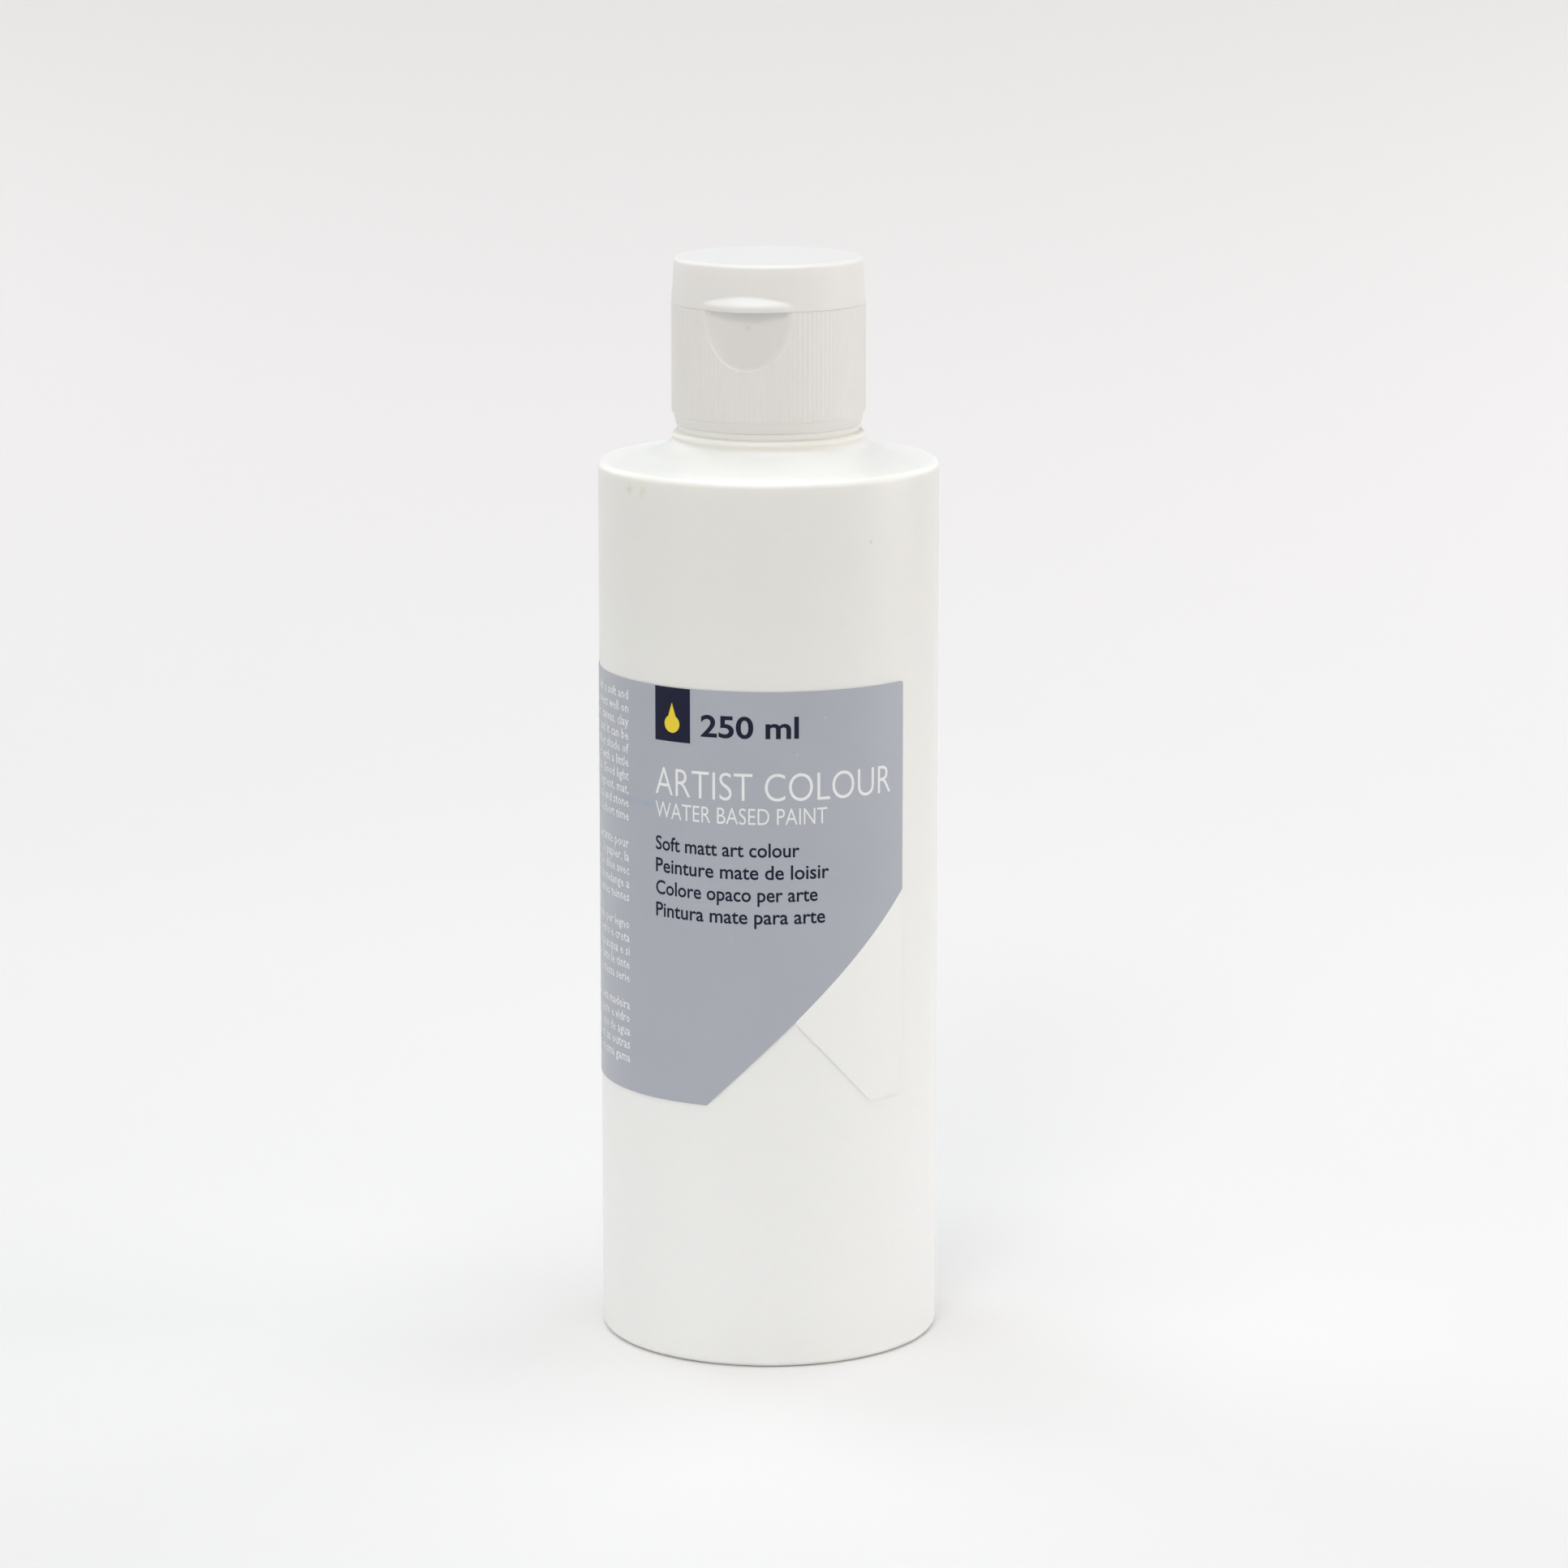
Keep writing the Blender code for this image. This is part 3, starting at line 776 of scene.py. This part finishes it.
def make_lid():
    """The lid: out over its top, down its wall, up inside to its roof and down the plug pin."""
    low = PARTING_Z + PARTING_GAP / 2
    inside = LID_R_LOW - LID_WALL
    roof = LID_TOP_Z - LID_ROOF
    bevel = 0.2
    roof_round = 0.5
    pin_round = 0.4
    heights = [166.0, 164.8, 163.6, 163.2, 162.95]
    heights += [162.8 - 0.08 * k for k in range(27)]
    heights += [low + rise for rise in (0.10, 0.06, 0.03, 0.01, 0.0)]
    under = [(14.35, low), (inside + bevel, low), (inside, low + bevel)]
    under += arc(inside - roof_round, roof - roof_round, roof_round, 0, 90, 6)
    pin = [(PIN_R + pin_round, roof), (PIN_R, roof - pin_round), (PIN_R, PIN_END_Z + pin_round)]
    pin += arc(PIN_R - pin_round, PIN_END_Z + pin_round, pin_round, 0, -90, 5)[1:]
    pin += [(0.0, PIN_END_Z)]

    def profile_at(azimuth):
        top = [(0.0, LID_TOP_Z - 0.04), (7.0, LID_TOP_Z - 0.03), (LID_R_TOP - 1.6, LID_TOP_Z)]
        top += arc(LID_R_TOP - LID_EDGE, LID_TOP_Z - LID_EDGE, LID_EDGE, 90, 4, 10)
        wall = [(lid_radius(azimuth, z, low), z) for z in heights]
        return top + wall + under + pin

    piece = round_solid("lid_shell", profile_at, lid_angles(), LID_PLASTIC, sharp=50.0)
    settle(piece, "lid_body", "lid_plastic", "flip_lid")


# ---------------------------------------------------------------- living hinge

def hinge_web(name, azimuth, half_width, half_height, thick, fold, node):
    """A thin plate over the parting line at the back, thinned along the fold where it bends."""
    inner = CAP_R + HINGE_CLEARANCE
    across = 12
    rows = 24
    back_rows = (1.0, 0.5, 0.15, 0.0, -0.15, -0.5, -1.0)
    half_angle = math.degrees(half_width / CAP_R)
    loops = []
    for i in range(across + 1):
        share = 2 * i / across - 1
        spot = azimuth + half_angle * share
        end = thick * (1 - 0.5 * share**8)
        outside = []
        for k in range(rows + 1):
            t = 2 * k / rows - 1
            thin = (1 - fold) * math.exp(-((t * half_height / HINGE_GROOVE) ** 2))
            edge = max(0.35, 1 - abs(t) ** 12)
            radius = inner + end * (1 - thin) * edge
            outside.append(around(spot, radius, PARTING_Z + t * half_height))
        inside = [around(spot, inner, PARTING_Z + half_height * t) for t in back_rows]
        loops.append((outside + inside)[::-1])
    piece = loft(name, loops, CAP_PLASTIC)
    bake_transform(piece)
    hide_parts(node)


# ---------------------------------------------------------------- label

def along(azimuth):
    """The distance along the label of an azimuth."""
    return LABEL_R * math.radians(azimuth)


def slice_upright(bm):
    """Cut a flat mesh every millimetre along x, so that it can follow the round wall."""
    low = min(v.co.x for v in bm.verts)
    high = max(v.co.x for v in bm.verts)
    upright = (1, 0, 0)
    for x in range(math.ceil(low), math.floor(high) + 1):
        every = bm.verts[:] + bm.edges[:] + bm.faces[:]
        bmesh.ops.bisect_plane(bm, geom=every, plane_co=(x, 0, 0), plane_no=upright, dist=0.0001)


def wrap(bm, proud):
    """Roll a flat mesh round the bottle. Its z counts outward from a height above the wall."""
    for vert in bm.verts:
        azimuth = math.degrees(vert.co.x / LABEL_R)
        vert.co = around(azimuth, BODY_R + proud + vert.co.z, vert.co.y)


def wrapped_piece(name, bm, material):
    """A mesh object from a wrapped mesh in millimetres, which is used up."""
    bmesh.ops.scale(bm, vec=(MM, MM, MM), verts=bm.verts)
    mesh = bpy.data.meshes.new(name)
    bm.to_mesh(mesh)
    bm.free()
    mesh.materials.append(material)
    piece = bpy.data.objects.new(name, mesh)
    bpy.context.scene.collection.objects.link(piece)
    return piece


def print_piece(name, bm, material, sliced=True):
    """A flat mesh as ink on the label. Small letters need no slices to follow the wall."""
    if sliced:
        slice_upright(bm)
    wrap(bm, INK)
    settle(wrapped_piece(name, bm, material), "bottle_body", "label_film")


def flat_shape(outline):
    """A flat mesh that fills an outline."""
    bm = bmesh.new()
    bm.faces.new([bm.verts.new((x, y, 0.0)) for x, y in outline])
    bmesh.ops.triangulate(bm, faces=bm.faces[:])
    return bm


def rounded(corners, radius):
    """A polygon with its corners rounded."""
    steps = 6
    points = []
    count = len(corners)
    for i in range(count):
        here = Vector(corners[i])
        before = Vector(corners[i - 1]) - here
        after = Vector(corners[(i + 1) % count]) - here
        half = before.angle(after) / 2
        reach = radius / math.tan(half)
        start = here + before.normalized() * reach
        end = here + after.normalized() * reach
        for k in range(steps + 1):
            t = k / steps
            points.append(start * (1 - t) ** 2 + here * 2 * t * (1 - t) + end * t * t)
    return points


def film_piece(name, outline, material, *nodes):
    """A piece of the label's film with its real thickness, wrapped round the bottle."""
    bm = flat_shape(outline)
    slice_upright(bm)
    made = bmesh.ops.extrude_face_region(bm, geom=bm.faces[:])
    raised = [v for v in made["geom"] if isinstance(v, bmesh.types.BMVert)]
    bmesh.ops.translate(bm, vec=(0, 0, FILM_OUT - FILM_IN), verts=raised)
    wrap(bm, FILM_IN)
    bmesh.ops.recalc_face_normals(bm, faces=bm.faces)
    piece = wrapped_piece(name, bm, material)
    piece.data.shade_smooth()
    piece.data.set_sharp_from_angle(angle=math.radians(30.0))
    settle(piece, "bottle_body", "label_film", *nodes)


def make_label():
    """One film: its printed part ends at a diagonal, and the clear part beyond it has a V notch."""
    right = along(LABEL_RIGHT)
    left = right - LABEL_WIDTH
    foot = along(NOTCH_LEFT)
    apex = along(NOTCH_APEX)
    toe = along(NOTCH_RIGHT)
    slope = (NOTCH_APEX_Z - LABEL_LOW_Z) / (apex - foot)
    shoulder_z = LABEL_LOW_Z + slope * (right - foot)
    printed = [(left, LABEL_LOW_Z), (foot, LABEL_LOW_Z), (right, shoulder_z), (right, LABEL_TOP_Z)]
    printed += [(left, LABEL_TOP_Z)]
    film_piece("label_printed", rounded(printed, 0.5), LABEL_BLUE, "label")
    seam = 0.01
    clear = [(toe, LABEL_LOW_Z), (right, LABEL_LOW_Z), (right, shoulder_z - seam)]
    clear += [(apex, NOTCH_APEX_Z - seam)]
    film_piece("label_unprinted", rounded(clear, 0.4), LABEL_CLEAR)


def lettering(text, size, resolution, weight):
    """A flat mesh of generic words, with its left end at x = 0 and its baseline at y = 0."""
    curve = bpy.data.curves.new("lettering", "FONT")
    curve.body = text
    curve.size = size
    curve.resolution_u = resolution
    curve.offset = weight
    guide = bpy.data.objects.new("lettering", curve)
    bpy.context.scene.collection.objects.link(guide)
    depsgraph = bpy.context.evaluated_depsgraph_get()
    mesh = bpy.data.meshes.new_from_object(guide.evaluated_get(depsgraph))
    bpy.data.objects.remove(guide, do_unlink=True)
    bm = bmesh.new()
    bm.from_mesh(mesh)
    bpy.data.meshes.remove(mesh)
    low = min(v.co.x for v in bm.verts)
    bmesh.ops.translate(bm, vec=(-low, 0, 0), verts=bm.verts)
    return bm


def place_words(bm, x, y, height, width=None, from_right=False):
    """Scale words to a capital height, stretch them to a width if it's given, and move them."""
    span = max(v.co.x for v in bm.verts)
    up = height / max(v.co.y for v in bm.verts)
    across = width / span if width else up
    start = x - span * across if from_right else x
    for vert in bm.verts:
        vert.co.x = start + vert.co.x * across
        vert.co.y = y + vert.co.y * up
    return bm


PRINT_LEFT = along(-27.3)
BOX_LOW_Z = 96.7
BOX_TOP_Z = LABEL_TOP_Z - 0.05
BOX_RIGHT = PRINT_LEFT + 6.35
DROP_Z = 99.4
DROP_R = 1.35
DROP_LIFT = 0.012
VOLUME_LEFT = PRINT_LEFT + 8.1

# Words, height of the baseline, width and capital height, and what the letters are before they are
# stretched to that: size, fineness and thickening
HEADLINE = ("ARTIST COLOUR", 88.4, 38.9, 4.25, (6.0, 6, -0.045))
SECOND_LINE = ("WATER BASED PAINT", 84.8, 27.5, 2.50, (3.6, 5, -0.01))
VOLUME = ("250 ml", 98.0, 15.0, 3.3, (4.6, 5, 0.09))

# Short lines, each with its width
NAVY_LINES = (
    ("Soft matt art colour", 23.2),
    ("Peinture mate de loisir", 27.8),
    ("Colore opaco per arte", 26.0),
    ("Pintura mate para arte", 27.2),
)
NAVY_TOP_Z = 79.85
NAVY_PITCH = 3.43
NAVY_CAPITAL = 2.15
NAVY_LETTERS = (2.8, 4, 0.035)

SMALL_RIGHT = along(-40.9)
SMALL_TOP_Z = 101.9
SMALL_PITCH = 2.08
SMALL_GAP = 2.2
SMALL_CAPITAL = 1.5
SMALL_LETTERS = (1.6, 1, 0.012)
SMALL_PRINT = (
    (
        "smooth opaque colour with a soft and",
        "even matt surface. It covers well on",
        "wood, card, paper, canvas, clay",
        "plaster, cork and cloth, and it can be",
        "mixed with every other shade of",
        "the range or thinned with a little",
        "water for a glaze. Good light",
        "fastness and a fine pigment, mat,",
        "wood, glass, metal and stone",
        "and dries in a short time",
    ),
    (
        "peinture mate et couvrante pour",
        "le bois, le carton, le papier, la",
        "toile et la terre. Se dilue avec",
        "un peu d eau et se melange a",
        "toutes les autres teintes",
    ),
    (
        "colore opaco e coprente per legno",
        "carta, tela, gesso, vetro e creta",
        "si diluisce con poca acqua e si",
        "mescola con tutte le tinte",
        "della stessa serie",
    ),
    (
        "cor mate e opaca para madeira",
        "papel, tela, gesso, barro e vidro",
        "dilui se com um pouco de agua",
        "e mistura se com as outras",
        "cores da mesma gama",
    ),
)


def print_line(name, line, left, material):
    """One line of print from its left end."""
    text, z, width, capital, letters = line
    print_piece(name, place_words(lettering(text, *letters), left, z, capital, width), material)


def make_print():
    """All the print, from the headline to the columns of small print."""
    print_line("print_headline", HEADLINE, PRINT_LEFT, INK_WHITE)
    print_line("print_second_line", SECOND_LINE, PRINT_LEFT, INK_WHITE)
    for i, (text, width) in enumerate(NAVY_LINES):
        line = (text, NAVY_TOP_Z - NAVY_PITCH * i, width, NAVY_CAPITAL, NAVY_LETTERS)
        print_line(f"print_line_{i + 1}", line, PRINT_LEFT, INK_NAVY)

    box = [(PRINT_LEFT, BOX_LOW_Z), (BOX_RIGHT, BOX_LOW_Z), (BOX_RIGHT, BOX_TOP_Z)]
    box += [(PRINT_LEFT, BOX_TOP_Z)]
    print_piece("print_box", flat_shape(box), INK_NAVY)
    drop = drop_shape((PRINT_LEFT + BOX_RIGHT) / 2, DROP_Z, DROP_R)
    print_piece("print_drop", drop, INK_YELLOW)
    print_line("print_volume", VOLUME, VOLUME_LEFT, INK_NAVY)

    z = SMALL_TOP_Z
    for group, lines in enumerate(SMALL_PRINT):
        for number, text in enumerate(lines):
            flat = lettering(text, *SMALL_LETTERS)
            bm = place_words(flat, SMALL_RIGHT, z, SMALL_CAPITAL, from_right=True)
            print_piece(f"small_print_{group + 1}_{number + 1}", bm, INK_PALE, sliced=False)
            z -= SMALL_PITCH
        z -= SMALL_GAP


def drop_shape(x, y, radius):
    """A paint drop: a round bottom drawn up to a point. It lies above the navy box."""
    outline = [(x, y + 2.4 * radius)]
    steps = 40
    sweep = 300
    for i in range(steps + 1):
        angle = math.radians(sweep * i / steps - sweep / 2)
        outline.append((x + radius * math.sin(angle), y - radius * math.cos(angle)))
    bm = flat_shape(outline)
    bmesh.ops.translate(bm, vec=(0, 0, DROP_LIFT), verts=bm.verts)
    return bm


# ---------------------------------------------------------------- inner pieces

def finish_inner_nodes():
    """The paint and the sealing ring keep their CAD shape and get their own materials."""
    for name, material in (("paint_fill", PAINT), ("neck_seal", FOAM)):
        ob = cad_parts[name]
        for slot in ob.material_slots:
            slot.material = material


# ---------------------------------------------------------------- studio

def make_camera():
    """The camera, which looks slightly down at the bottle."""
    data = bpy.data.cameras.new("camera")
    data.lens = CAMERA_LENS
    data.sensor_width = 36.0
    data.clip_start = 0.01
    data.clip_end = 20.0
    camera = bpy.data.objects.new("camera", data)
    bpy.context.scene.collection.objects.link(camera)
    camera.location = around(CAMERA_AZIMUTH, CAMERA_DISTANCE, CAMERA_HEIGHT) * MM
    turn = math.radians(CAMERA_AZIMUTH - CAMERA_YAW)
    camera.rotation_euler = (math.radians(90.0 - CAMERA_PITCH), 0.0, turn)
    bpy.context.scene.camera = camera


def make_backdrop():
    """A seamless sheet: a level floor that sweeps gently up behind the bottle, with painted light
    towards the back.
    """
    colour, shade = PAPER_NEAR
    recipe = Recipe("studio_paper", colour, 0.85, 0.2)
    recipe.paint(recipe.remap(recipe.noise(6.0, 2.0), 0.35, 0.65, 0.0, 1.0), shade)
    # Painted light: the sheet grows lighter from near the bottle towards the back.
    recipe.paint(recipe.remap(recipe.position("Y"), 0.1, 1.0, 0.0, 1.0), PAPER_FAR_LIGHT)
    front = -1600.0
    back = 350.0
    bend = 1600.0
    half = 1500.0
    steps = 24
    profile = [(front, 0.0), (back, 0.0)]
    for k in range(1, steps + 1):
        angle = math.radians(50.0) * k / steps
        profile.append((back + bend * math.sin(angle), bend * (1 - math.cos(angle))))
    verts = [(side, y, z) for side in (-half, half) for y, z in profile]
    count = len(profile)
    faces = [[i, count + i, count + i + 1, i + 1] for i in range(count - 1)]
    sheet = add_piece("backdrop", verts, faces, recipe.material, 60.0)
    sheet.rotation_euler.z = math.radians(CAMERA_AZIMUTH)


def area_light(name, azimuth, distance, height, size, power, aim_z, colour):
    """A square softbox that faces a point on the bottle's axis."""
    data = bpy.data.lights.new(name, "AREA")
    data.shape = "SQUARE"
    data.size = size * MM
    data.energy = power
    data.color = colour
    lamp = bpy.data.objects.new(name, data)
    bpy.context.scene.collection.objects.link(lamp)
    lamp.location = around(azimuth, distance, height) * MM
    aim = Vector((0.0, 0.0, aim_z)) * MM - lamp.location
    lamp.rotation_euler = aim.to_track_quat("-Z", "Y").to_euler()


def direction(azimuth, elevation):
    """A unit vector towards an azimuth and an elevation in degrees."""
    lift = math.radians(elevation)
    return around(azimuth, math.cos(lift), math.sin(lift))


def make_room(glows):
    """A dark room that brightens smoothly towards each of a few directions."""
    world = bpy.data.worlds.new("room")
    bpy.context.scene.world = world
    world.use_nodes = True
    tree = world.node_tree
    where = tree.nodes.new("ShaderNodeTexCoord").outputs["Generated"]
    total = None
    for towards, colour in glows:
        facing = tree.nodes.new("ShaderNodeVectorMath")
        facing.operation = "DOT_PRODUCT"
        tree.links.new(where, facing.inputs[0])
        facing.inputs[1].default_value = towards
        amount = tree.nodes.new("ShaderNodeClamp")
        tree.links.new(facing.outputs["Value"], amount.inputs["Value"])
        glow = tree.nodes.new("ShaderNodeVectorMath")
        glow.operation = "SCALE"
        glow.inputs[0].default_value = colour
        tree.links.new(amount.outputs["Result"], glow.inputs["Scale"])
        if total is not None:
            added = tree.nodes.new("ShaderNodeVectorMath")
            added.operation = "ADD"
            tree.links.new(glow.outputs["Vector"], added.inputs[0])
            tree.links.new(total, added.inputs[1])
            glow = added
        total = glow.outputs["Vector"]
    tree.links.new(total, tree.nodes["Background"].inputs["Color"])


# Name, azimuth from the camera, distance, height, size, power in watts, height aimed at, colour
SOFTBOXES = (
    ("top_softbox", 0.0, 0.0, 1400.0, 900.0, 6.20, 90.0, (1.0, 0.985, 0.975)),
    ("front_softbox", -14.0, 1000.0, 800.0, 300.0, 2.0, 90.0, (1.0, 0.98, 0.95)),
    ("low_top_softbox", 0.0, 0.0, 750.0, 500.0, 1.84, 90.0, (0.92, 1.0, 1.0)),
    ("right_softbox", 90.0, 1000.0, 300.0, 600.0, 3.4, 120.0, (1.0, 0.95, 0.93)),
    ("back_right_softbox", 135.0, 1000.0, 500.0, 600.0, 1.77, 120.0, FULL_WHITE),
    ("back_left_softbox", -135.0, 1000.0, 500.0, 600.0, 1.86, 120.0, FULL_WHITE),
)
FRONT_GLOW = (0.695, 0.672, 0.640)
LEFT_GLOW = (0.436, 0.436, 0.428)


def make_lights():
    """Softboxes round the camera's direction, and the room's own glow."""
    front = (direction(CAMERA_AZIMUTH, 0.0), FRONT_GLOW)
    left = (direction(CAMERA_AZIMUTH - 90.0, 10.0), LEFT_GLOW)
    make_room((front, left))
    for name, turn, *rest in SOFTBOXES:
        area_light(name, CAMERA_AZIMUTH + turn, *rest)


def main():
    """Build everything, the camera first."""
    bpy.context.scene.view_settings.view_transform = "Standard"
    make_camera()
    make_bottle()
    make_pinch_line()
    top = THREAD_TOP_Z
    neck_thread = thread_ridge("neck_thread", NECK_THREAD_R, NECK_THREAD_RIDGE, top, PLASTIC)
    settle(neck_thread, "bottle_body", "bottle_plastic")
    make_skirt()
    make_gate_mark()
    make_deck()
    top = THREAD_TOP_Z - THREAD_PITCH / 2
    cap_thread = thread_ridge("cap_thread", CAP_THREAD_R, CAP_THREAD_RIDGE, top, CAP_PLASTIC)
    settle(cap_thread, "cap_body", "cap_plastic")
    make_lid()
    for web in HINGE_WEBS:
        hinge_web(*web)
    make_label()
    make_print()
    finish_inner_nodes()
    make_backdrop()
    make_lights()


main()
